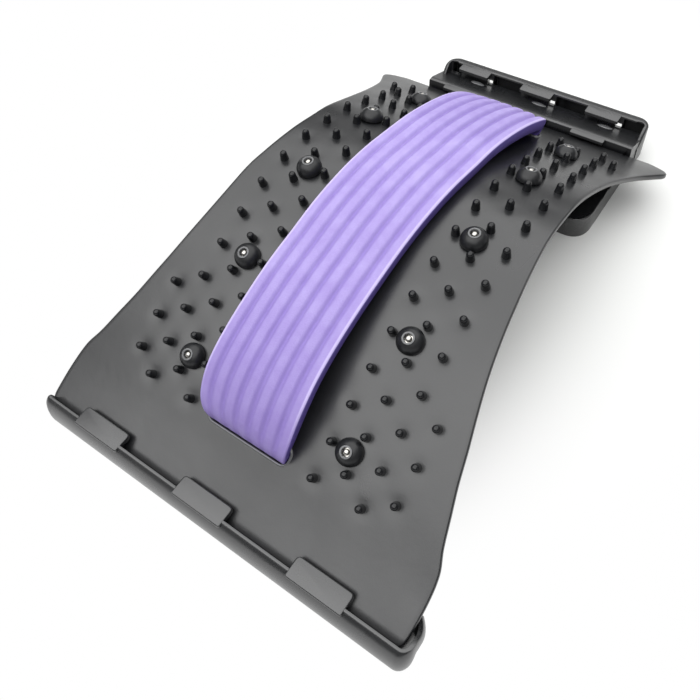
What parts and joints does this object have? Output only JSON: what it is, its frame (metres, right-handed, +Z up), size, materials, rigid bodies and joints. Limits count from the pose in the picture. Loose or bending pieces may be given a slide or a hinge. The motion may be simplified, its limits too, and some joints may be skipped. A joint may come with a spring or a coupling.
{
  "type": "arched back stretcher",
  "caption": "Arched back stretcher: a hooked springy arch plate with massage nodes, magnet buttons and a ribbed foam pad on a flat base with rows of hooks.",
  "frame": {"origin": "centre of the base's outline on the floor", "axes": "+X across the arch, +Y along it from the front lip to the hook rows, +Z up"},
  "size_m": [0.245, 0.372, 0.0895],
  "materials": {
    "base_plastic": "moulded charcoal, satin",
    "plate_plastic": "moulded charcoal, satin",
    "foam": "closed cell foam, lavender",
    "cap_plastic": "moulded black, half gloss",
    "magnet": "nickel plated"
  },
  "bodies": {
    "base": {"base_frame": "base_plastic"},
    "arch": {"arch_plate": "plate_plastic", "foam_pad": "foam", "magnet_cap_left_1": "cap_plastic", "magnet_cap_left_2": "cap_plastic", "magnet_cap_left_3": "cap_plastic", "magnet_cap_left_4": "cap_plastic", "magnet_cap_left_5": "cap_plastic", "magnet_cap_right_1": "cap_plastic", "magnet_cap_right_2": "cap_plastic", "magnet_cap_right_3": "cap_plastic", "magnet_cap_right_4": "cap_plastic", "magnet_cap_right_5": "cap_plastic", "magnet_left_1": "magnet", "magnet_left_2": "magnet", "magnet_left_3": "magnet", "magnet_left_4": "magnet", "magnet_left_5": "magnet", "magnet_right_1": "magnet", "magnet_right_2": "magnet", "magnet_right_3": "magnet", "magnet_right_4": "magnet", "magnet_right_5": "magnet"}
  },
  "joints": [
    {"name": "arch_press", "type": "slide", "parent": "base", "child": "arch", "axis": [0, 0, 1], "range_m": [-0.012, 0], "stiffness_N_per_m": 20000, "deforming": ["arch_plate", "foam_pad"]}
  ]
}
